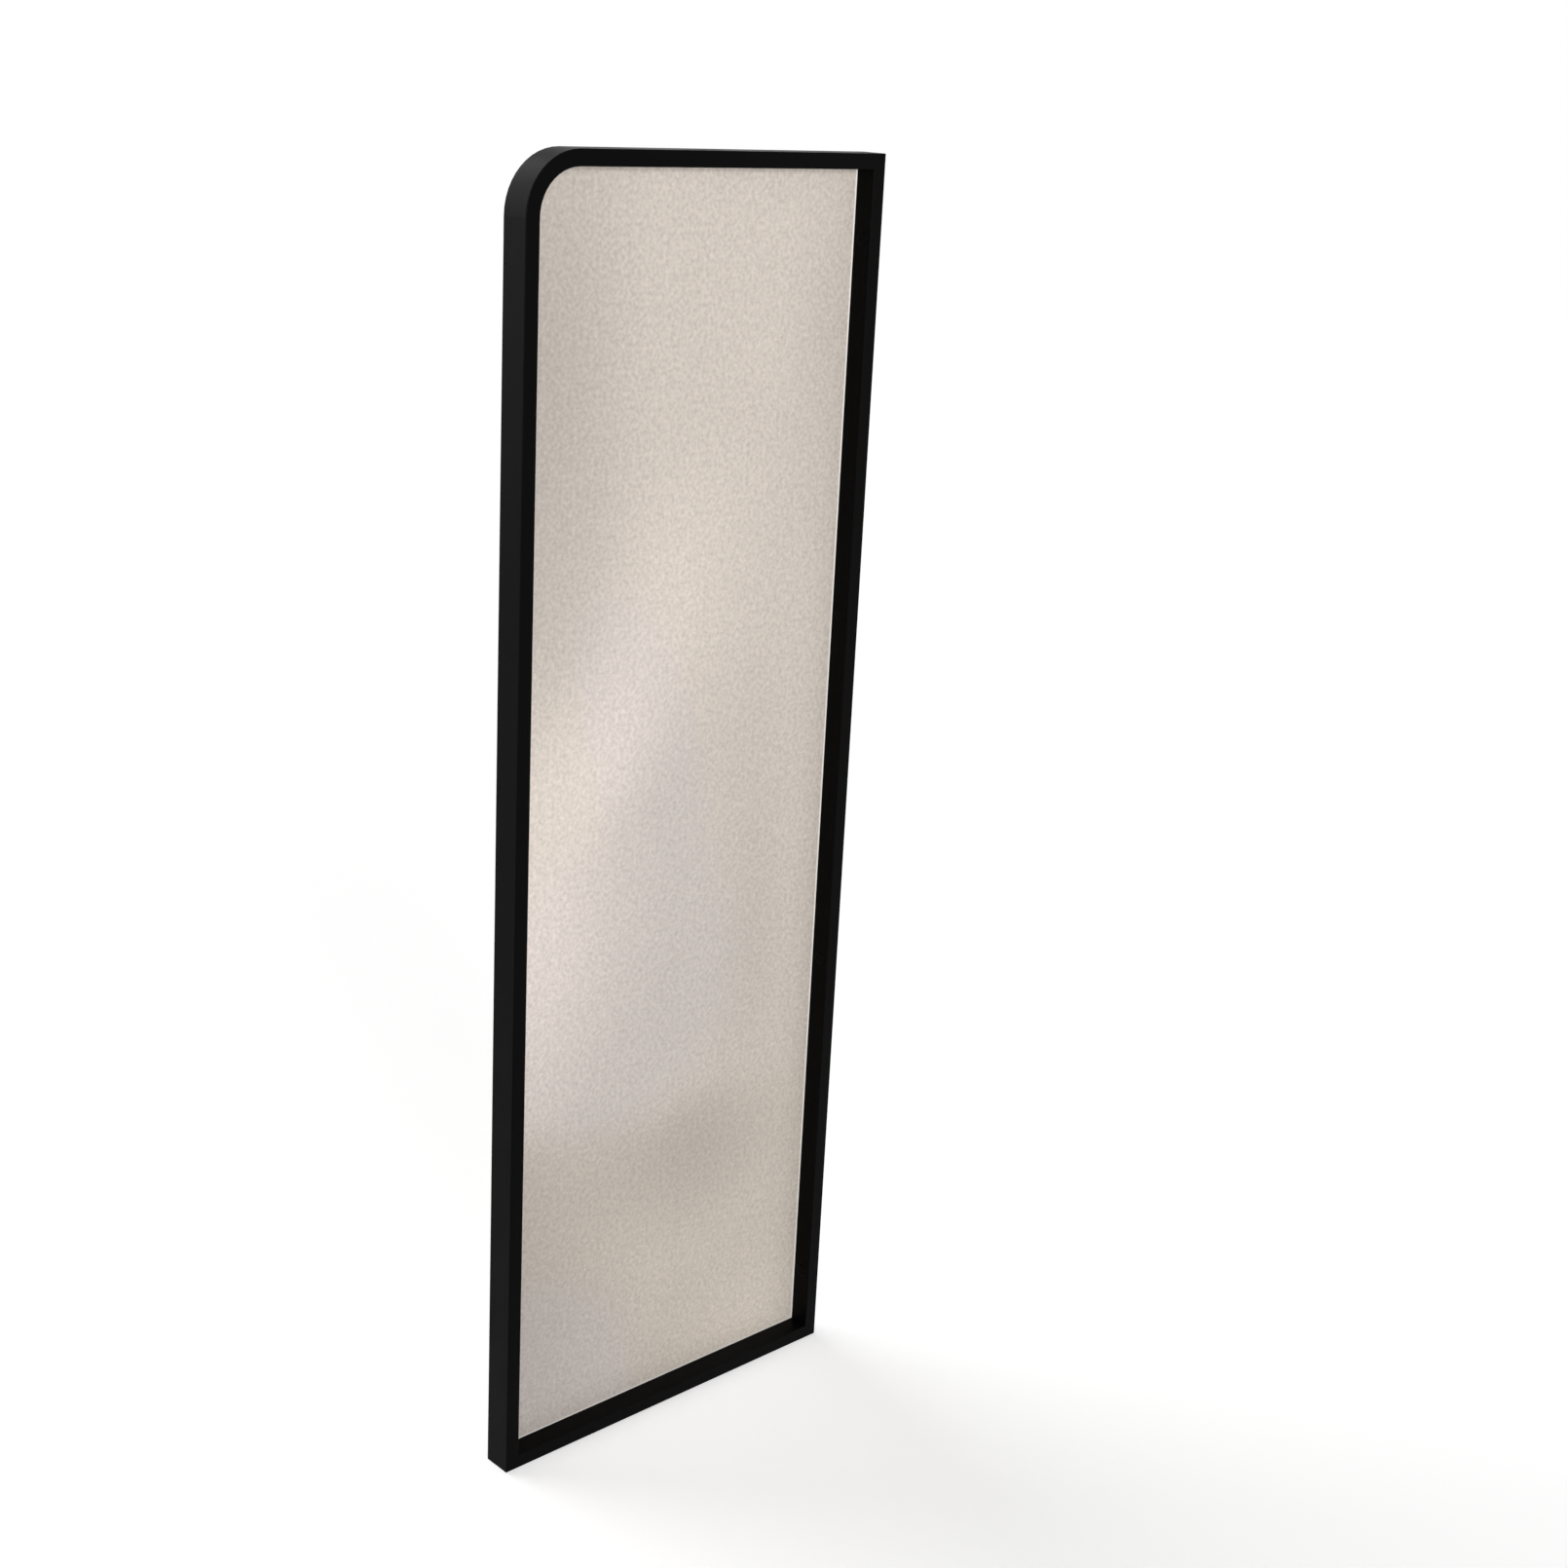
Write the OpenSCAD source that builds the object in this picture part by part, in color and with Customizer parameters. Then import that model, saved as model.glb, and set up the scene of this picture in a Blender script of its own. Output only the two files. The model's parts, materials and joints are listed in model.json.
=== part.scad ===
// Washroom privacy screen: a tall frosted glass panel in a slim aluminium frame
// with one rounded top corner, fixed to the wall along one long edge.
// Millimetres. X is the depth, with the front face at +X, where the glass lies
// deep in the frame. Y runs from the free edge at -screen_w to the wall at 0,
// and Z is up from the bottom edge.

/* [Screen] */
// Height of the screen
screen_h = 1200; // [800:1:1600]
// Width of the screen, from the wall to its free edge
screen_w = 400; // [280:1:600]
// Outside radius of the rounded top corner
corner_r = 54; // [40:1:120]

/* [Frame extrusion] */
// Width of the frame's front face
face_w = 14; // [11:0.1:20]
// Depth of the hollow chamber, from the front face to the glazing rebate
chamber_d = 21; // [17:0.1:30]
// Wall thickness of the extrusion
wall_t = 1.4; // [1:0.1:2]
// Radius on the two front edges
edge_r = 0.8; // [0.3:0.1:1]
// Radius in the corners of the chamber
root_r = 0.4; // [0.2:0.1:0.6]
// Height of the lip that the glazing beads hook under
lip_w = 0.8; // [0.5:0.1:1.2]
// Thickness of that lip
lip_t = 1.1; // [0.8:0.1:1.4]
// Gap between the cut faces of a mitred corner
mitre_gap = 0.1; // [0.05:0.05:0.3]

/* [Glazing] */
// Thickness of the glass
glass_t = 5; // [4:0.5:8]
// Width of the ground arris along each edge of the glass
glass_arris = 0.7; // [0.3:0.1:1.2]
// Thickness of the blocks and packers between the frame and the edge of the glass
packer_t = 3.1; // [2:0.1:4]
// Thickness of the gasket in front of the glass, when pressed
front_gasket_t = 1; // [0.8:0.1:2.5]
// Thickness of the gasket behind the glass, when pressed
rear_gasket_t = 1.6; // [1.2:0.1:2.5]
// How far the gasket lips show past the frame
gasket_show = 0.8; // [0.4:0.1:3]
// Thickness of the glazing beads
bead_t = 1.4; // [1.2:0.1:2]
// Length of the two setting blocks that carry the glass
setting_block_l = 60; // [30:5:80]
// Length of the packers at the other edges of the glass
edge_packer_l = 35; // [20:5:60]

/* [Corner joints] */
// Length of each arm of a corner key, from the frame's outer corner
key_arm = 55; // [50:1:80]
// Thickness of the key's walls round its pockets
key_wall = 1.8; // [1.4:0.1:2.4]
// Clearance between the keys and the chamber that holds them
key_gap = 0.2; // [0.1:0.05:0.4]
// Distances of the two screws in each arm from the outer corner
key_screw_at = [25, 45]; // [22:1:75]
// Length of the arms of the mitre alignment plates
plate_arm = 38; // [30:1:60]
// Thickness of those plates
plate_t = 1; // [0.8:0.1:1.5]
// Shank diameter of the countersunk corner screws
screw_d = 3.5; // [3:0.1:4]
// Length of the corner screws, with the head
screw_l = 13; // [10:0.5:14]

/* [Wall fixing] */
// Number of wall screw positions
fixing_n = 4; // [4:2:6]
// Distance of the first and last positions from the screen's ends
fixing_end = 75; // [70:1:150]
// Diameter of the screw holes in the wall face
fixing_hole_d = 5.5; // [4.5:0.1:7]
// Diameter of the access holes that the screws go in through
access_hole_d = 10.5; // [9.5:0.1:12]
// How far a cap stands out from its hole all round
cap_rim = 1; // [0.8:0.1:1.5]
// Height of a cap above the frame
cap_h = 0.9; // [0.6:0.1:1.5]

/* [Hidden] */
$fn = 96;

// Depths behind the front face
glass_front = chamber_d + front_gasket_t;
glass_back = glass_front + glass_t;
bead_front = glass_back + rear_gasket_t;
frame_d = bead_front + bead_t;

// Distances in from the frame's outer edge
glass_edge = wall_t + packer_t;
gasket_set_in = 1.2;
gasket_edge = glass_edge + gasket_set_in;
chamber_mid = face_w / 2;

// How far a mitre cut, and a hole, run past the faces that they open
over = 5;
through = 1;

// Ribs inside the chamber that hold the alignment plates to its front wall
rib_w = 0.9;
rib_t = 0.8;
plate_play = 0.1;
plate_slot = plate_t + 2 * plate_play;

// Corner keys, between those ribs and the back wall of the chamber
key_front = wall_t + plate_slot + rib_t + key_gap;
key_back = chamber_d - wall_t - key_gap;
key_near = wall_t + key_gap;
key_far = face_w - wall_t - key_gap;

// Bead hook
fin_r = 0.4;
bead_gap = 0.2;
hook_t = 1.2;
hook_w = 2.4;

// Countersunk screws, with a head as deep as the wall that it sinks into
screw_head_r = screw_d / 2 + wall_t;
screw_play = 0.05;

// Wall screw positions
fixing_x = frame_d / 2 - chamber_d / 2;
fixing_pitch = (screen_h - 2 * fixing_end) / (fixing_n - 1);

black = "#141414";
zinc = "#8f9498";
steel = "#b9bcc0";
greige = "#c8beb4";
clear_grey = "#d6d4d0";
dark_rubber = "#2c2c2c";

// ---------- Placing sections round the screen ----------
// A section is drawn as [u, v]: u in from the outer edge, v back from the front.

// A straight length up the Z axis, with its outer edge on Y = 0 and its inside at +Y
module upright(length) {
    linear_extrude(length)
        translate([frame_d / 2, 0])
            rotate(90)
                children();
}

// A straight length from Y = 0 to -length, with its outer edge on Z = 0
module level(length) {
    rotate([90, 0, 0])
        linear_extrude(length)
            translate([frame_d / 2, 0])
                rotate(90)
                    children();
}

// The quarter turn at the rounded corner
module corner_bend() {
    translate([0, corner_r - screen_w, screen_h - corner_r])
        rotate([90, 0, 90])
            rotate([0, 0, 90])
                rotate_extrude(angle = 90)
                    translate([corner_r, frame_d / 2])
                        rotate(180)
                            children();
}

// A shape drawn in elevation, as [Y, Z], from one depth behind the front to another
module slab(front, back) {
    rotate([90, 0, 90])
        translate([0, 0, frame_d / 2 - back])
            linear_extrude(back - front)
                children();
}

// A block between two 45 degree cuts, drawn in elevation
module cut_block(outline) {
    slab(-over, frame_d + over)
        polygon(outline);
}

// Front edge, rounded corner and top edge, in one bent length
module bent_run(gap) {
    s = gap / sqrt(2);
    half = screen_w / 2;
    intersection() {
        union() {
            translate([0, -screen_w, 0])
                upright(screen_h - corner_r)
                    children();
            corner_bend()
                children();
            translate([0, 0, screen_h])
                mirror([0, 0, 1])
                    level(screen_w - corner_r)
                        children();
        }
        cut_block([
            [-screen_w - over, s - over],
            [-half, half + s],
            [-half, screen_h - half + s],
            [over - s, screen_h + over],
            [-screen_w - over, screen_h + over]
        ]);
    }
}

// Bottom edge, mitred at both ends
module bottom_run(gap) {
    s = gap / sqrt(2);
    half = screen_w / 2;
    intersection() {
        level(screen_w)
            children();
        cut_block([
            [s - screen_w - over, -over],
            [over - s, -over],
            [-half, half - s]
        ]);
    }
}

// Wall edge, mitred at both ends
module wall_run(gap) {
    s = gap / sqrt(2);
    half = screen_w / 2;
    intersection() {
        mirror([0, 1, 0])
            upright(screen_h)
                children();
        cut_block([
            [over, s - over],
            [over, screen_h - s + over],
            [-half, screen_h - half - s],
            [-half, half + s]
        ]);
    }
}

// One closed ring round the whole screen
module full_ring() {
    bent_run(0)
        children();
    bottom_run(0)
        children();
    wall_run(0)
        children();
}

// Places a shape drawn from an outer corner, along +X and +Y, at a square corner
module at_corner(name) {
    if (name == "bottom_front")
        translate([-screen_w, 0])
            children();
    if (name == "bottom_wall")
        mirror([1, 0])
            children();
    if (name == "top_wall")
        translate([0, screen_h])
            rotate(180)
                children();
}

square_corners = ["top_wall", "bottom_wall", "bottom_front"];

// ---------- Sections and outlines ----------

// A block whose two edges on v = 0 are rounded
module eased_block(w, d, r) {
    translate([0, r])
        square([w, d - r]);
    translate([r, 0])
        square([w - 2 * r, 2 * r]);
    for (u = [r, w - r])
        translate([u, r])
            circle(r);
}

// Rectangle with rounded corners, from its centre
module round_rect(w, d, r) {
    square([w, d - 2 * r], center = true);
    square([w - 2 * r, d], center = true);
    for (sx = [-1, 1], sy = [-1, 1])
        translate([sx * (w / 2 - r), sy * (d / 2 - r)])
            circle(r);
}

// The extrusion: a hollow chamber in front and an open rebate behind it
module frame_section() {
    difference() {
        union() {
            eased_block(face_w, chamber_d, edge_r);
            translate([0, chamber_d - wall_t])
                square([wall_t, frame_d - chamber_d + wall_t - fin_r]);
            translate([0, frame_d])
                mirror([0, 1])
                    eased_block(wall_t + lip_w, lip_t, fin_r);
        }
        translate([face_w / 2, chamber_d / 2])
            round_rect(face_w - 2 * wall_t, chamber_d - 2 * wall_t, root_r);
    }
    for (u = [wall_t, face_w - wall_t - rib_w])
        translate([u, wall_t + plate_slot])
            square([rib_w, rib_t]);
}

// The glazing bead: a cover strip with a hook that goes under the frame's lip
module bead_section() {
    neck = wall_t + lip_w + bead_gap;
    hook_back = frame_d - lip_t;
    translate([neck, frame_d])
        mirror([0, 1])
            eased_block(face_w - neck, bead_t, fin_r);
    translate([neck, hook_back - hook_t])
        square([wall_t + bead_gap + hook_w - neck, hook_t + lip_t - fin_r]);
    translate([wall_t + bead_gap, hook_back - hook_t])
        square([hook_w, hook_t]);
}

// A gasket strip with a sloped lip that shows past the frame
module gasket_section(from, to, lip_side) {
    show = face_w + gasket_show;
    slope = 0.6 * (to - from);
    flat = lip_side == "front" ? from : to;
    deep = lip_side == "front" ? from + slope : to - slope;
    far = lip_side == "front" ? to : from;
    polygon([
        [gasket_edge, flat],
        [show - slope, flat],
        [show, deep],
        [show, far],
        [gasket_edge, far]
    ]);
}

// Outline of the whole screen in elevation, drawn in by a given distance
module screen_outline(inset) {
    translate([inset - screen_w, inset])
        square([screen_w - 2 * inset, screen_h - corner_r - inset]);
    translate([corner_r - screen_w, inset])
        square([screen_w - corner_r - inset, screen_h - 2 * inset]);
    translate([corner_r - screen_w, screen_h - corner_r])
        circle(corner_r - inset);
}

// The corner key in elevation: an extruded cleat cut to the depth of the chamber
module key_outline() {
    near = key_near;
    far = key_far;
    taper = 1.5;
    relief = 2.5;
    difference() {
        polygon([
            [near + relief, near],
            [key_arm - 2 * taper, near],
            [key_arm, near + taper],
            [key_arm, far - taper],
            [key_arm - 2 * taper, far],
            [far, far],
            [far, key_arm - 2 * taper],
            [far - taper, key_arm],
            [near + taper, key_arm],
            [near, key_arm - 2 * taper],
            [near, near + relief]
        ]);
        key_screw_bores();
        key_pockets();
        key_grooves();
    }
}

// Holes that the corner screws cut their thread in
module key_screw_bores() {
    for (p = key_screw_at) {
        translate([p, chamber_mid])
            circle(screw_d / 2 + screw_play);
        translate([chamber_mid, p])
            circle(screw_d / 2 + screw_play);
    }
}

// Pockets between the screws, which leave a wall all round
module key_pockets() {
    land = screw_d / 2 + screw_play + key_wall;
    starts = concat([key_far + key_wall], [for (p = key_screw_at) p + land]);
    ends = [for (p = key_screw_at) p - land];
    pocket_w = key_far - key_near - 2 * key_wall;
    pocket_r = 1;
    for (i = [0 : len(ends) - 1]) {
        length = ends[i] - starts[i];
        middle = (starts[i] + ends[i]) / 2;
        translate([middle, chamber_mid])
            round_rect(length, pocket_w, pocket_r);
        translate([chamber_mid, middle])
            round_rect(pocket_w, length, pocket_r);
    }
}

// Glue grooves across both sides of each arm
module key_grooves() {
    groove_w = 1.2;
    groove_d = 0.4;
    pitch = 5;
    margin = 5;
    first = key_far + margin;
    last = key_arm - margin;
    for (along = [first : pitch : last], across = [key_near, key_far - groove_d]) {
        translate([along, across])
            square([groove_w, groove_d]);
        translate([across, along])
            square([groove_d, groove_w]);
    }
}

module corner_key(name) {
    slab(key_front, key_back)
        at_corner(name)
            key_outline();
}

// A flat L that lies behind the front wall, across a mitre
module plate_outline() {
    tie_hole_at = 0.7 * plate_arm;
    tie_hole_r = 1.5;
    difference() {
        polygon([
            [key_near, key_near],
            [plate_arm, key_near],
            [plate_arm, key_far],
            [key_far, key_far],
            [key_far, plate_arm],
            [key_near, plate_arm]
        ]);
        translate([tie_hole_at, chamber_mid])
            circle(tie_hole_r);
        translate([chamber_mid, tie_hole_at])
            circle(tie_hole_r);
    }
}

// Centres of the corner screws in elevation, [Y, Z]
key_screw_centres = [
    for (name = square_corners, p = key_screw_at, swap = [false, true])
        let (a = swap ? chamber_mid : p, b = swap ? p : chamber_mid)
            name == "bottom_front" ? [a - screen_w, b]
            : name == "bottom_wall" ? [-a, b]
            : [-a, screen_h - b]
];

// Places a shape at each corner screw, with Z = 0 in the rebate and +Z into the chamber
module at_key_screws() {
    for (c = key_screw_centres)
        translate([frame_d / 2 - chamber_d, c[0], c[1]])
            rotate([0, 90, 0])
                children();
}

// Holes for the shanks and the countersunk heads in the back wall of the chamber
module key_screw_holes() {
    at_key_screws() {
        translate([0, 0, -through])
            cylinder(h = wall_t + 2 * through, r = screw_d / 2 + screw_play);
        cylinder(h = wall_t, r1 = screw_head_r + screw_play, r2 = screw_d / 2 + screw_play);
    }
}

fixing_heights = [for (i = [0 : fixing_n - 1]) fixing_end + i * fixing_pitch];

// ---------- Frame ----------

module bent_frame() {
    color(black)
        difference() {
            bent_run(mitre_gap)
                frame_section();
            key_screw_holes();
        }
}

module bottom_rail() {
    color(black)
        difference() {
            bottom_run(mitre_gap)
                frame_section();
            key_screw_holes();
        }
}

module wall_stile() {
    color(black)
        difference() {
            wall_run(mitre_gap)
                frame_section();
            key_screw_holes();
            for (z = fixing_heights)
                translate([fixing_x, 0, z])
                    rotate([90, 0, 0]) {
                        translate([0, 0, -through])
                            cylinder(h = wall_t + 2 * through, d = fixing_hole_d);
                        translate([0, 0, face_w - wall_t - through])
                            cylinder(h = wall_t + 2 * through, d = access_hole_d);
                    }
        }
}

module top_wall_corner_key() {
    color(zinc)
        corner_key("top_wall");
}

module bottom_wall_corner_key() {
    color(zinc)
        corner_key("bottom_wall");
}

module bottom_front_corner_key() {
    color(zinc)
        corner_key("bottom_front");
}

module mitre_alignment_plates() {
    color(steel)
        slab(wall_t + plate_play, wall_t + plate_play + plate_t)
            for (name = square_corners)
                at_corner(name)
                    plate_outline();
}

// Countersunk screw along +Z, with the flat of its head on Z = 0
module corner_screw() {
    socket_d = 2.3;
    socket_depth = 1.3;
    tip = 1;
    difference() {
        rotate_extrude()
            polygon([
                [0, 0],
                [screw_head_r, 0],
                [screw_d / 2, wall_t],
                [screw_d / 2, screw_l - tip],
                [screw_d / 2 - tip / 2, screw_l],
                [0, screw_l]
            ]);
        translate([0, 0, -through])
            cylinder(h = socket_depth + through, d = socket_d, $fn = 6);
    }
}

module corner_key_screws() {
    color(steel)
        at_key_screws()
            corner_screw();
}

// ---------- Glazing ----------

// What grinding takes off one edge of the glass: side is 1 in front and -1 behind
module arris_section(face, side) {
    reach = glass_arris + through;
    polygon([
        [glass_edge - through, face - side * through],
        [glass_edge + reach, face - side * through],
        [glass_edge - through, face + side * reach]
    ]);
}

module glass_panel() {
    color(greige)
        difference() {
            slab(glass_front, glass_back)
                screen_outline(glass_edge);
            full_ring()
                arris_section(glass_front, 1);
            full_ring()
                arris_section(glass_back, -1);
        }
}

module front_gasket() {
    color(clear_grey)
        full_ring()
            gasket_section(chamber_d, glass_front, "front");
}

module rear_gasket() {
    color(clear_grey)
        full_ring()
            gasket_section(glass_back, bead_front, "back");
}

// A block between the rebate's floor and the edge of the glass, grooved underneath
module packer_section() {
    grooves = 3;
    groove_w = 0.8;
    groove_d = 0.6;
    proud = 0.5;
    depth = glass_t + 2 * proud;
    difference() {
        translate([wall_t, glass_front - proud])
            square([packer_t, depth]);
        for (i = [1 : grooves])
            translate([wall_t, glass_front - proud + i * depth / (grooves + 1) - groove_w / 2])
                square([groove_d, groove_w]);
    }
}

module setting_blocks() {
    color(dark_rubber)
        for (share = [1 / 4, 3 / 4])
            translate([0, setting_block_l / 2 - share * screen_w, 0])
                level(setting_block_l)
                    packer_section();
}

module edge_packers() {
    color(dark_rubber)
        for (share = [1 / 4, 3 / 4])
            translate([0, 0, share * screen_h - edge_packer_l / 2]) {
                mirror([0, 1, 0])
                    upright(edge_packer_l)
                        packer_section();
                translate([0, -screen_w, 0])
                    upright(edge_packer_l)
                        packer_section();
            }
    color(dark_rubber)
        translate([0, edge_packer_l / 2 - screen_w / 2, screen_h])
            mirror([0, 0, 1])
                level(edge_packer_l)
                    packer_section();
}

module bent_bead() {
    color(black)
        bent_run(mitre_gap)
            bead_section();
}

module bottom_bead() {
    color(black)
        bottom_run(mitre_gap)
            bead_section();
}

module wall_bead() {
    color(black)
        wall_run(mitre_gap)
            bead_section();
}

// ---------- Caps ----------

// Push-in cap along +Z: a low dome with a barbed collar below Z = 0
module hole_cap() {
    rim_r = access_hole_d / 2 + cap_rim;
    collar_r = access_hole_d / 2 - 0.15;
    barb_r = access_hole_d / 2 + 0.2;
    barb_top = -wall_t - 0.1;
    barb_edge = barb_top - 0.2;
    tip = -wall_t - 2;
    tip_r = collar_r - 0.3;
    inside_r = collar_r - 1.2;
    ceiling = -0.3;
    bevel = 1.2;
    rotate_extrude()
        polygon([
            [0, cap_h],
            [rim_r - bevel, cap_h],
            [rim_r - bevel / 4, 0.6 * cap_h],
            [rim_r, 0],
            [collar_r, 0],
            [collar_r, barb_top],
            [barb_r, barb_edge],
            [tip_r, tip],
            [inside_r, tip],
            [inside_r, ceiling],
            [0, ceiling]
        ]);
}

module fixing_hole_caps() {
    color(black)
        for (z = fixing_heights)
            translate([fixing_x, -face_w, z])
                rotate([90, 0, 0])
                    hole_cap();
}

bent_frame();
bottom_rail();
wall_stile();
top_wall_corner_key();
bottom_wall_corner_key();
bottom_front_corner_key();
mitre_alignment_plates();
corner_key_screws();
glass_panel();
front_gasket();
rear_gasket();
setting_blocks();
edge_packers();
bent_bead();
bottom_bead();
wall_bead();
fixing_hole_caps();
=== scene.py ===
import json
import math

import bpy
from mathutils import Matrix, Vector


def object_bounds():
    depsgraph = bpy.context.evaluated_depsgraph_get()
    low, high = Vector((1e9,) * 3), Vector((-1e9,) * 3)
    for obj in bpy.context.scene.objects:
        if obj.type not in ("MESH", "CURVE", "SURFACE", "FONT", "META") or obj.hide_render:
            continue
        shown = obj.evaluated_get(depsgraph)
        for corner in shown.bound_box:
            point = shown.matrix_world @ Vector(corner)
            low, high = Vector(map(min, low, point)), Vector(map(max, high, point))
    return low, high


# The looks of a washroom privacy screen: a frosted glass panel in a slim black frame.
# Metres. +X is the front, where the glass is set deep. Y runs from the free edge to the
# wall at 0, and Z is up from the bottom edge.

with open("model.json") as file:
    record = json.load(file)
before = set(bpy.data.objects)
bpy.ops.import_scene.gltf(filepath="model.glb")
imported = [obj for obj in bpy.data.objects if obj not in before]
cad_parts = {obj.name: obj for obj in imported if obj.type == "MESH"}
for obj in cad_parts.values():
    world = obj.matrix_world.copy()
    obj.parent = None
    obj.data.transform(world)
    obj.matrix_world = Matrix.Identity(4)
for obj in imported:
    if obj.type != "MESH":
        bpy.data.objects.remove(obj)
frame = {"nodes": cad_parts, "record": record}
cad_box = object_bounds()
MM = 0.001

screen_low, screen_high = cad_box
screen_width = screen_high.y - screen_low.y


# ---------- Node helpers ----------

def add(tree, kind, inputs=None, **settings):
    """A new node with settings as its properties.

    An input takes a value or another node's output.
    """
    made = tree.nodes.new(kind)
    for name, value in settings.items():
        setattr(made, name, value)
    for name, value in (inputs or {}).items():
        if isinstance(value, bpy.types.NodeSocket):
            tree.links.new(value, made.inputs[name])
        else:
            made.inputs[name].default_value = value
    return made


def new_material(name):
    """A new material, with its node tree and its principled shader."""
    made = bpy.data.materials.new(name)
    made.use_nodes = True
    tree = made.node_tree
    return made, tree, tree.nodes["Principled BSDF"]


def place(tree):
    """The point on the object in metres, in the frame's own axes."""
    return add(tree, "ShaderNodeTexCoord").outputs["Object"]


def stretched(tree, vector, scale):
    """The same point with each axis scaled."""
    mapping = add(tree, "ShaderNodeMapping", {"Vector": vector, "Scale": scale})
    return mapping.outputs["Vector"]


def noise(tree, vector, size, detail=2.0, roughness=0.5):
    """Soft noise from 0 to 1 with features about size metres across."""
    return add(tree, "ShaderNodeTexNoise", {
        "Vector": vector, "Scale": 1 / size, "Detail": detail, "Roughness": roughness,
    }).outputs["Fac"]


def calc(tree, operation, *values):
    """A math node's result."""
    made = add(tree, "ShaderNodeMath", dict(enumerate(values)), operation=operation)
    return made.outputs["Value"]


def ramp(tree, value, low, high, to_low=0.0, to_high=1.0, smooth=True):
    """value carried from low..high to to_low..to_high, and held there outside them."""
    return add(tree, "ShaderNodeMapRange", {
        "Value": value, "From Min": low, "From Max": high, "To Min": to_low, "To Max": to_high,
    }, interpolation_type="SMOOTHSTEP" if smooth else "LINEAR").outputs["Result"]


def bump(tree, height, depth, under=None):
    """A normal from a height of 0 to 1 that stands for depth metres, laid over under."""
    inputs = {"Height": height, "Distance": depth}
    if under is not None:
        inputs["Normal"] = under
    return add(tree, "ShaderNodeBump", inputs).outputs["Normal"]


def tinted(tree, tint, amount):
    """tint made lighter or darker: where amount is 1 it stays as it is."""
    made = add(tree, "ShaderNodeVectorMath", {0: tint, "Scale": amount}, operation="SCALE")
    return made.outputs["Vector"]


def colour_socket(sockets, name):
    """The colour socket called name: a Mix node has several sockets of one name."""
    return next(socket for socket in sockets if socket.name == name and socket.type == "RGBA")


def blend_colours(tree, share, first, second):
    """A colour between two, by share."""
    made = add(tree, "ShaderNodeMix", {"Factor": share}, data_type="RGBA")
    for name, value in (("A", first), ("B", second)):
        socket = colour_socket(made.inputs, name)
        if isinstance(value, bpy.types.NodeSocket):
            tree.links.new(value, socket)
        else:
            socket.default_value = (*value, 1.0)
    return colour_socket(made.outputs, "Result")


# ---------- Materials, one for each slot of the record ----------

BLACK_LOW = 0.0008
BLACK_HIGH = 0.0020
BLACK_SHEEN = 0.03


def powder_coat():
    """Satin black powder coat, with the faint ripple that such a coat has."""
    made, tree, shader = new_material("satin_black_powder_coat")
    point = place(tree)
    ripple = noise(tree, point, 1.6 * MM, detail=1.5)
    grit = noise(tree, point, 0.35 * MM, detail=1.0)
    patches = noise(tree, point, 45 * MM, detail=3.0)
    dark = (BLACK_LOW, BLACK_LOW, 0.0009)
    light = (BLACK_HIGH, BLACK_HIGH, 0.0021)
    tree.links.new(blend_colours(tree, grit, dark, light), shader.inputs["Base Color"])
    patchy = ramp(tree, patches, 0.3, 0.7, 0.38, 0.46)
    gritty = ramp(tree, grit, 0.2, 0.8, -0.03, 0.03)
    tree.links.new(calc(tree, "ADD", patchy, gritty), shader.inputs["Roughness"])
    rippled = bump(tree, ripple, 0.03 * MM)
    tree.links.new(bump(tree, grit, 0.012 * MM, under=rippled), shader.inputs["Normal"])
    shader.inputs["Specular IOR Level"].default_value = BLACK_SHEEN
    return made


GLASS_WARM = (0.603, 0.544, 0.487)
GLASS_PINK = (0.598, 0.539, 0.504)
GLASS_BELOW_HORIZON = (0.605, 0.544, 0.478)
GLASS_THROUGH = 0.14
GLASS_IOR = 1.5
TONE_BASE = 1.05
TONE_DRIFT = 0.015
# Heights of a painted reflected horizon, between which the glass turns from its darker lower
# part to its lighter upper part: painted shade below, painted light above
PAINTED_HORIZON_LOW, PAINTED_HORIZON_HIGH = 0.28, 0.35
PAINTED_HORIZON_DRIFT = 0.008
# Painted light and shade on the frosting, blurred reflections painted into its colour: middle
# [Y, Z], half size [across, along], turn in degrees, gain
PAINTED_LIGHT_SHADE_ABOVE_HORIZON = [
    ((-0.36, 1.03), (0.14, 0.38), 0, -0.21),   # shade down the free edge
    ((-0.45, 0.53), (0.27, 0.32), 0, 0.45),    # glow from the free edge
    ((-0.22, 0.80), (0.13, 0.21), -20, 0.16),  # painted streak of light
    ((-0.29, 0.69), (0.10, 0.14), -30, 0.13),  # brighter end of the streak
    ((-0.28, 0.65), (0.06, 0.12), -30, 0.05),  # its crisper lower side
    ((-0.05, 1.01), (0.06, 0.25), 0, -0.07),   # faint shade by the wall
    ((-0.10, 0.50), (0.06, 0.30), 0, -0.06),   # faint shade further down
]
# Painted light and shade below the horizon, written the same way
PAINTED_LIGHT_SHADE_BELOW_HORIZON = [
    ((-0.38, 0.18), (0.18, 0.40), 0, -0.21),   # shade at the lower free edge
    ((-0.17, 0.26), (0.17, 0.12), 0, -0.20),   # painted shade: dark band under the line
    ((-0.07, 0.00), (0.15, 0.16), 0, 0.16),    # painted light in the corner by the wall
]
# Where it turns a little pinker, written the same way
PINK_SPOTS = [
    ((-0.27, 0.45), (0.27, 0.26), 0, 1.6),     # middle of the panel
    ((-0.25, 0.71), (0.10, 0.22), 24, 1.6),    # along the streak
    ((-0.38, 0.04), (0.26, 0.23), 0, 1.6),     # lower free corner
]
SPOT_DEPTH = 1000.0


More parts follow.
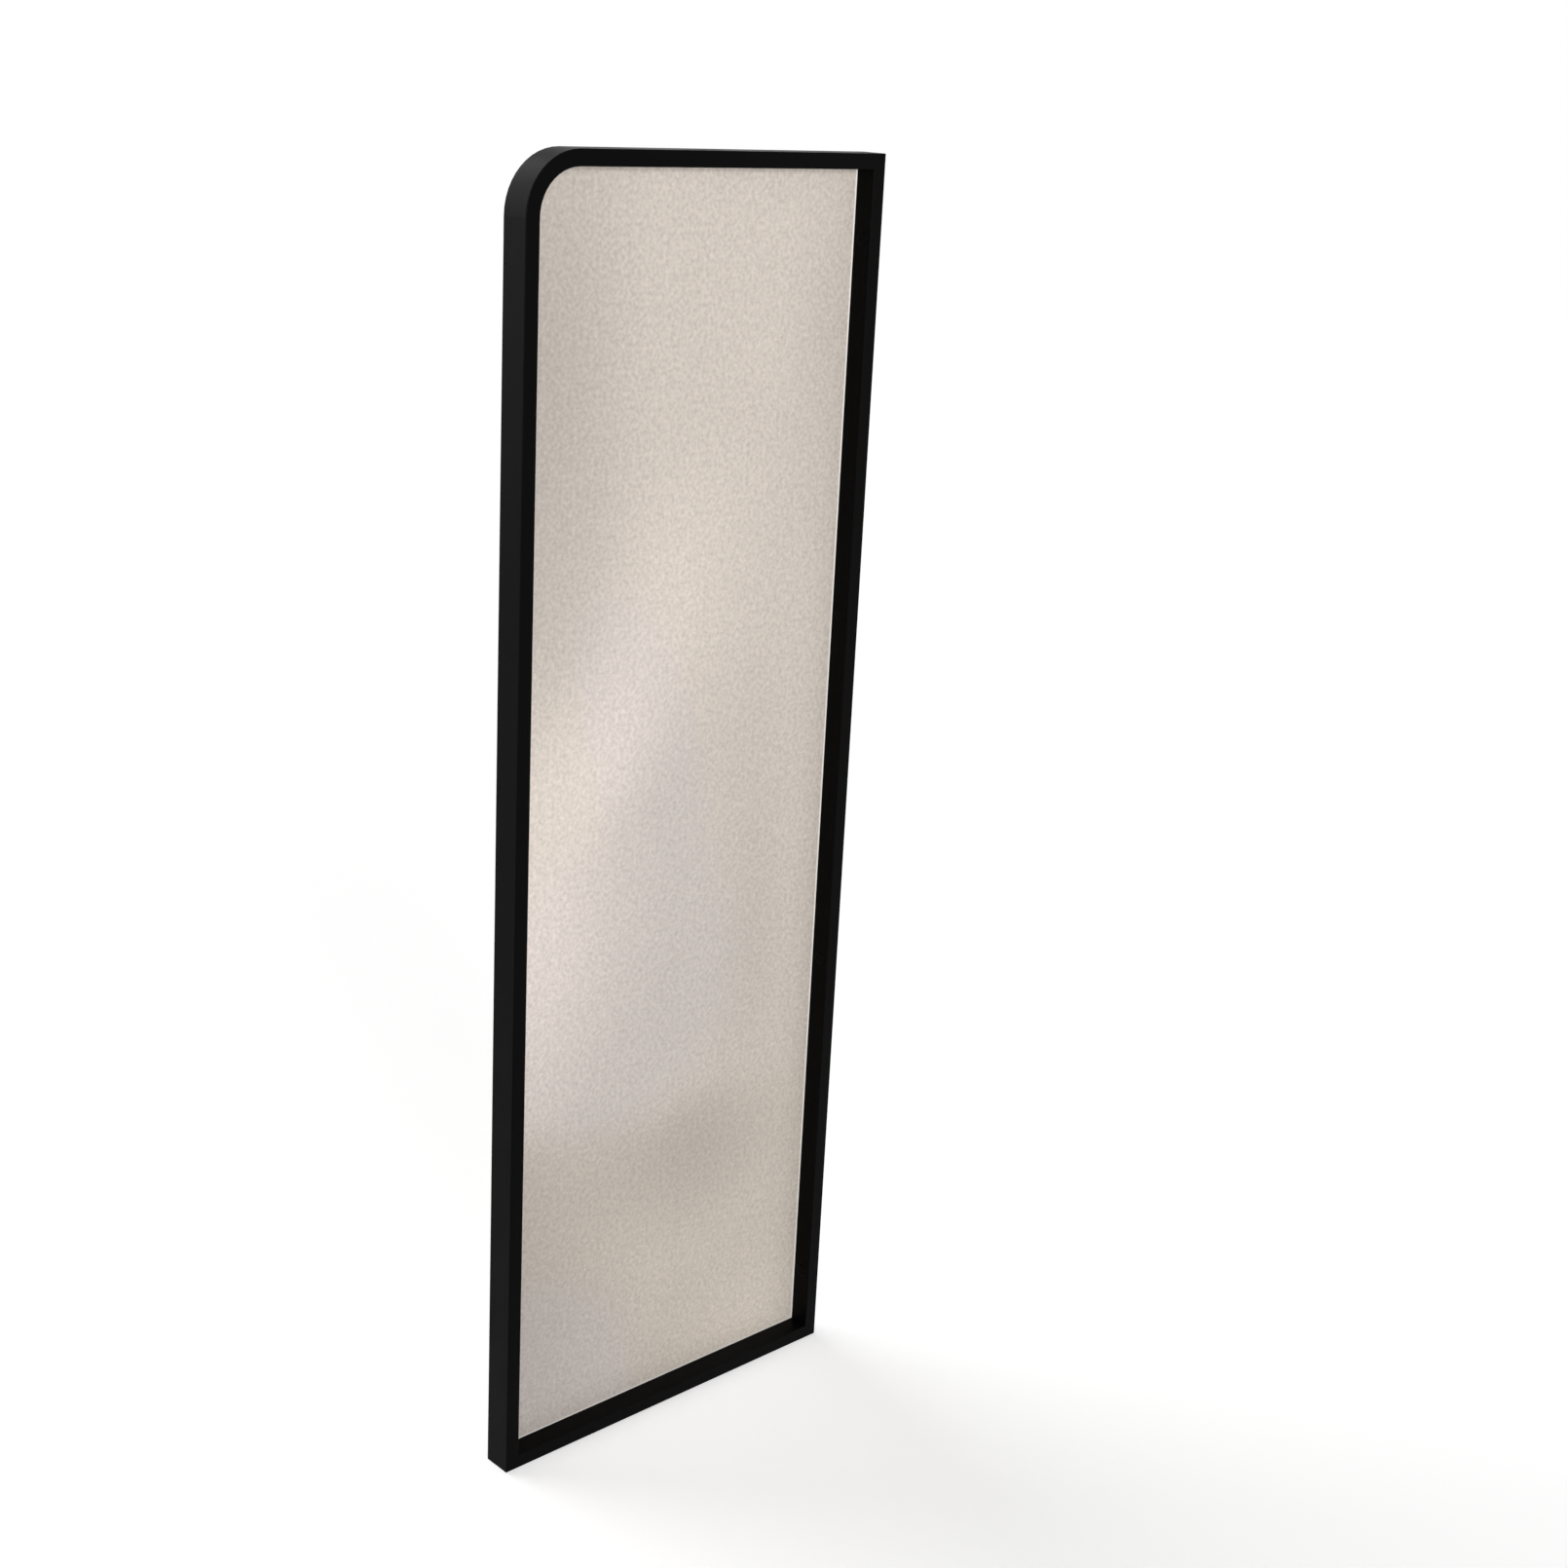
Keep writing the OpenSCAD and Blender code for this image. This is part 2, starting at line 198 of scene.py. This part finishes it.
def spots(tree, point, places, start):
    """start, with the gain of each soft spot added at its middle and fading to 0 at its rim."""
    total = start
    for middle, half_size, turn, gain in places:
        spot = add(tree, "ShaderNodeMapping", {
            "Vector": point, "Location": (0, *middle), "Rotation": (math.radians(turn), 0, 0),
            "Scale": (SPOT_DEPTH, *half_size),
        }, vector_type="TEXTURE").outputs["Vector"]
        falloff = add(tree, "ShaderNodeTexGradient", {"Vector": spot}, gradient_type="SPHERICAL")
        share = ramp(tree, falloff.outputs["Fac"], 0, 1, 0, gain)
        total = calc(tree, "ADD", total, share)
    return total


def frosted_glass():
    """Greige frosted glass: painted light and shade of soft blurred reflections, a fine sandy
    grain and a satin face.
    """
    made, tree, shader = new_material("frosted_greige_glass")
    point = place(tree)
    height = add(tree, "ShaderNodeSeparateXYZ", {"Vector": point}).outputs["Z"]
    drift = ramp(tree, noise(tree, point, 160 * MM), 0.25, 0.75, -1.0, 1.0)
    base = calc(tree, "MULTIPLY_ADD", drift, TONE_DRIFT, TONE_BASE)
    edge = calc(tree, "MULTIPLY_ADD", drift, PAINTED_HORIZON_DRIFT, height)
    above = ramp(tree, edge, PAINTED_HORIZON_LOW, PAINTED_HORIZON_HIGH)
    # Painted reflection: painted shade below the horizon and painted light above it, blended
    # across it
    lower = spots(tree, point, PAINTED_LIGHT_SHADE_BELOW_HORIZON, base)
    upper = spots(tree, point, PAINTED_LIGHT_SHADE_ABOVE_HORIZON, base)
    tone = ramp(tree, above, 0, 1, lower, upper, smooth=False)

    grain = noise(tree, point, 3.8 * MM, roughness=0.55)
    sand = noise(tree, point, 1.1 * MM, detail=1.5)
    specks = noise(tree, point, 2.0 * MM, detail=1.0)
    blast = noise(tree, point, 0.45 * MM, detail=1.0)
    for texture, depth in ((grain, 0.17), (blast, 0.05)):
        cloudy = ramp(tree, texture, 0.25, 0.75, 1 - depth, 1 + depth, smooth=False)
        tone = calc(tree, "MULTIPLY", tone, cloudy)
    tone = calc(tree, "ADD", tone, ramp(tree, sand, 0.68, 0.80, 0.0, 0.10))
    tone = calc(tree, "ADD", tone, ramp(tree, specks, 0.66, 0.78, 0.0, 0.08))
    tone = calc(tree, "ADD", tone, ramp(tree, specks, 0.22, 0.34, -0.10, 0.0))

    pink = ramp(tree, spots(tree, point, PINK_SPOTS, 0.0), 0.3, 0.9)
    # The tint shifts a little across the painted horizon as well
    warm = blend_colours(tree, above, GLASS_BELOW_HORIZON, GLASS_WARM)
    tint = blend_colours(tree, pink, warm, GLASS_PINK)
    tree.links.new(tinted(tree, tint, tone), shader.inputs["Base Color"])
    tree.links.new(ramp(tree, grain, 0.3, 0.7, 0.44, 0.54), shader.inputs["Roughness"])
    grained = bump(tree, grain, 0.05 * MM)
    tree.links.new(bump(tree, blast, 0.008 * MM, under=grained), shader.inputs["Normal"])
    shader.inputs["Transmission Weight"].default_value = GLASS_THROUGH
    shader.inputs["IOR"].default_value = GLASS_IOR
    return made


def silicone():
    """Pale translucent silicone strip with a slightly milky skin."""
    made, tree, shader = new_material("pale_silicone")
    point = place(tree)
    milk = noise(tree, point, 9 * MM)
    skin = blend_colours(tree, milk, (0.72, 0.69, 0.65), (0.80, 0.77, 0.73))
    tree.links.new(skin, shader.inputs["Base Color"])
    tree.links.new(ramp(tree, milk, 0.3, 0.7, 0.42, 0.55), shader.inputs["Roughness"])
    ripple = noise(tree, point, 0.6 * MM)
    tree.links.new(bump(tree, ripple, 0.01 * MM), shader.inputs["Normal"])
    return made


def packer_rubber():
    """Matt black rubber with a dusty moulded skin."""
    made, tree, shader = new_material("matt_black_rubber")
    point = place(tree)
    dust = noise(tree, point, 2.5 * MM, detail=4.0, roughness=0.65)
    dusty = blend_colours(tree, dust, (0.020, 0.020, 0.020), (0.045, 0.045, 0.044))
    tree.links.new(dusty, shader.inputs["Base Color"])
    tree.links.new(ramp(tree, dust, 0.3, 0.7, 0.7, 0.85), shader.inputs["Roughness"])
    skin = noise(tree, point, 0.4 * MM)
    tree.links.new(bump(tree, skin, 0.03 * MM), shader.inputs["Normal"])
    return made


def mill_aluminium():
    """Mill finish aluminium, drawn along its depth and sawn square at both ends."""
    made, tree, shader = new_material("mill_aluminium")
    point = place(tree)
    drawn = noise(tree, stretched(tree, point, (0.02, 1, 1)), 0.4 * MM, detail=3.0)
    saw = noise(tree, stretched(tree, point, (1, 1, 0.05)), 0.3 * MM)
    normal = add(tree, "ShaderNodeNewGeometry").outputs["True Normal"]
    facing = add(tree, "ShaderNodeSeparateXYZ", {"Vector": normal}).outputs["X"]
    sawn = ramp(tree, calc(tree, "ABSOLUTE", facing), 0.8, 0.9)
    saw_lines = calc(tree, "MULTIPLY", saw, sawn)
    drawn_lines = calc(tree, "MULTIPLY", drawn, calc(tree, "SUBTRACT", 1.0, sawn))
    lines = calc(tree, "ADD", saw_lines, drawn_lines)
    metal = blend_colours(tree, lines, (0.60, 0.61, 0.62), (0.80, 0.81, 0.82))
    tree.links.new(metal, shader.inputs["Base Color"])
    tree.links.new(ramp(tree, lines, 0.3, 0.7, 0.28, 0.45), shader.inputs["Roughness"])
    tree.links.new(bump(tree, lines, 0.02 * MM), shader.inputs["Normal"])
    shader.inputs["Metallic"].default_value = 1.0
    return made


def stamped_steel():
    """Stainless strip, ground along its length before it was stamped."""
    made, tree, shader = new_material("stamped_stainless")
    point = place(tree)
    ground = noise(tree, stretched(tree, point, (1, 1, 0.03)), 0.25 * MM, detail=3.0)
    metal = blend_colours(tree, ground, (0.46, 0.46, 0.45), (0.70, 0.70, 0.69))
    tree.links.new(metal, shader.inputs["Base Color"])
    tree.links.new(ramp(tree, ground, 0.3, 0.7, 0.25, 0.42), shader.inputs["Roughness"])
    tree.links.new(bump(tree, ground, 0.008 * MM), shader.inputs["Normal"])
    shader.inputs["Metallic"].default_value = 1.0
    return made


def zinc_plate():
    """Bright zinc plate with the faint blue and straw tints of its passivation."""
    made, tree, shader = new_material("bright_zinc_plate")
    point = place(tree)
    tint = noise(tree, point, 4 * MM)
    spangle = noise(tree, point, 0.5 * MM)
    metal = blend_colours(tree, tint, (0.56, 0.58, 0.62), (0.66, 0.63, 0.55))
    tree.links.new(metal, shader.inputs["Base Color"])
    tree.links.new(ramp(tree, spangle, 0.3, 0.7, 0.2, 0.36), shader.inputs["Roughness"])
    tree.links.new(bump(tree, spangle, 0.006 * MM), shader.inputs["Normal"])
    shader.inputs["Metallic"].default_value = 1.0
    return made


def cap_plastic():
    """Satin black moulded plastic with a fine spark-eroded skin."""
    made, tree, shader = new_material("satin_black_plastic")
    skin = noise(tree, place(tree), 0.25 * MM)
    black = blend_colours(tree, skin, (BLACK_LOW,) * 3, (BLACK_HIGH,) * 3)
    tree.links.new(black, shader.inputs["Base Color"])
    tree.links.new(ramp(tree, skin, 0.3, 0.7, 0.40, 0.52), shader.inputs["Roughness"])
    tree.links.new(bump(tree, skin, 0.01 * MM), shader.inputs["Normal"])
    shader.inputs["Specular IOR Level"].default_value = BLACK_SHEEN
    return made


FINISHES = {
    "frame_black": powder_coat,
    "frosted_glass": frosted_glass,
    "gasket_pale": silicone,
    "packer_rubber": packer_rubber,
    "key_aluminium": mill_aluminium,
    "plate_steel": stamped_steel,
    "screw_steel": zinc_plate,
    "cap_black": cap_plastic,
}


def paint_nodes():
    """Gives each CAD node the finish of its material slot."""
    made = {name: finish() for name, finish in FINISHES.items()}
    for part in frame["record"]["subparts"]:
        data = frame["nodes"][part["node"]].data
        data.materials.clear()
        data.materials.append(made[part["material_slot"]])


# ---------- Studio ----------

AMBIENT = 0.16
SKY_SEEN = 1.0
WHITE = (1, 1, 1, 1)
FLOOR_ALBEDO = 0.82
FLOOR_LIFT = 0.60
FLOOR_ROUGHNESS = 0.9
FLOOR_HALF = 12.0
FLOOR_GAP = 0.5 * MM
# Lamps: name, direction that the light comes from, strength, angle across in degrees
LAMPS = [
    ("key_light", (0.93, -0.36, 0.06), 1.03, 26),
    ("back_light", (-0.86, -0.24, 0.34), 0.80, 60),
]
# The photograph's viewpoint: place, turn in degrees, and focal length and sensor in mm
CAMERA_PLACE = (1.5083, -1.5230, 1.2728)
CAMERA_TURN = (72.549, -2.859, 47.001)
CAMERA_LENS = 52.66
CAMERA_SENSOR = 36.0


def seen_directly(tree):
    """1 for rays from the camera, from a gloss or through glass, and 0 for the others."""
    path = add(tree, "ShaderNodeLightPath").outputs
    seen = calc(tree, "MAXIMUM", path["Is Camera Ray"], path["Is Glossy Ray"])
    return calc(tree, "MAXIMUM", seen, path["Is Transmission Ray"])


def make_floor():
    """A pale floor that shows white, apart from the screen's soft shadow."""
    made, tree, shader = new_material("studio_floor")
    shader.inputs["Base Color"].default_value = (FLOOR_ALBEDO,) * 3 + (1.0,)
    shader.inputs["Roughness"].default_value = FLOOR_ROUGHNESS
    shader.inputs["Specular IOR Level"].default_value = 0.0
    shader.inputs["Emission Color"].default_value = WHITE
    lift = ramp(tree, seen_directly(tree), 0, 1, 0, FLOOR_LIFT, smooth=False)
    tree.links.new(lift, shader.inputs["Emission Strength"])

    mesh = bpy.data.meshes.new("studio_floor")
    signs = ((-1, -1), (1, -1), (1, 1), (-1, 1))
    corners = [(across * FLOOR_HALF, along * FLOOR_HALF, 0) for across, along in signs]
    mesh.from_pydata(corners, [], [(0, 1, 2, 3)])
    mesh.materials.append(made)
    sheet = bpy.data.objects.new("studio_floor", mesh)
    bpy.context.scene.collection.objects.link(sheet)
    sheet.location = (0, -screen_width / 2, -FLOOR_GAP)


def make_world():
    """Even soft light, which shows white where it is seen directly."""
    world = bpy.data.worlds.new("studio")
    world.use_nodes = True
    tree = world.node_tree
    background = tree.nodes["Background"]
    strength = ramp(tree, seen_directly(tree), 0, 1, AMBIENT, SKY_SEEN, smooth=False)
    tree.links.new(strength, background.inputs["Strength"])
    background.inputs["Color"].default_value = WHITE
    bpy.context.scene.world = world


def make_sun(name, towards, strength, angle):
    """A broad soft lamp, far off in the direction towards."""
    lamp = bpy.data.lights.new(name, "SUN")
    lamp.energy = strength * math.pi
    lamp.angle = math.radians(angle)
    sun = bpy.data.objects.new(name, lamp)
    sun.rotation_euler = Vector(towards).to_track_quat("Z", "Y").to_euler()
    bpy.context.scene.collection.objects.link(sun)


def make_camera():
    """The photograph's viewpoint, worked out from the vanishing lines of the frame."""
    lens = bpy.data.cameras.new("photo_camera")
    lens.sensor_width = CAMERA_SENSOR
    lens.lens = CAMERA_LENS
    camera = bpy.data.objects.new("photo_camera", lens)
    camera.location = CAMERA_PLACE
    camera.rotation_euler = [math.radians(angle) for angle in CAMERA_TURN]
    bpy.context.scene.collection.objects.link(camera)
    bpy.context.scene.camera = camera


make_camera()
paint_nodes()
make_floor()
make_world()
for lamp_values in LAMPS:
    make_sun(*lamp_values)
bpy.context.scene.view_settings.view_transform = "Standard"
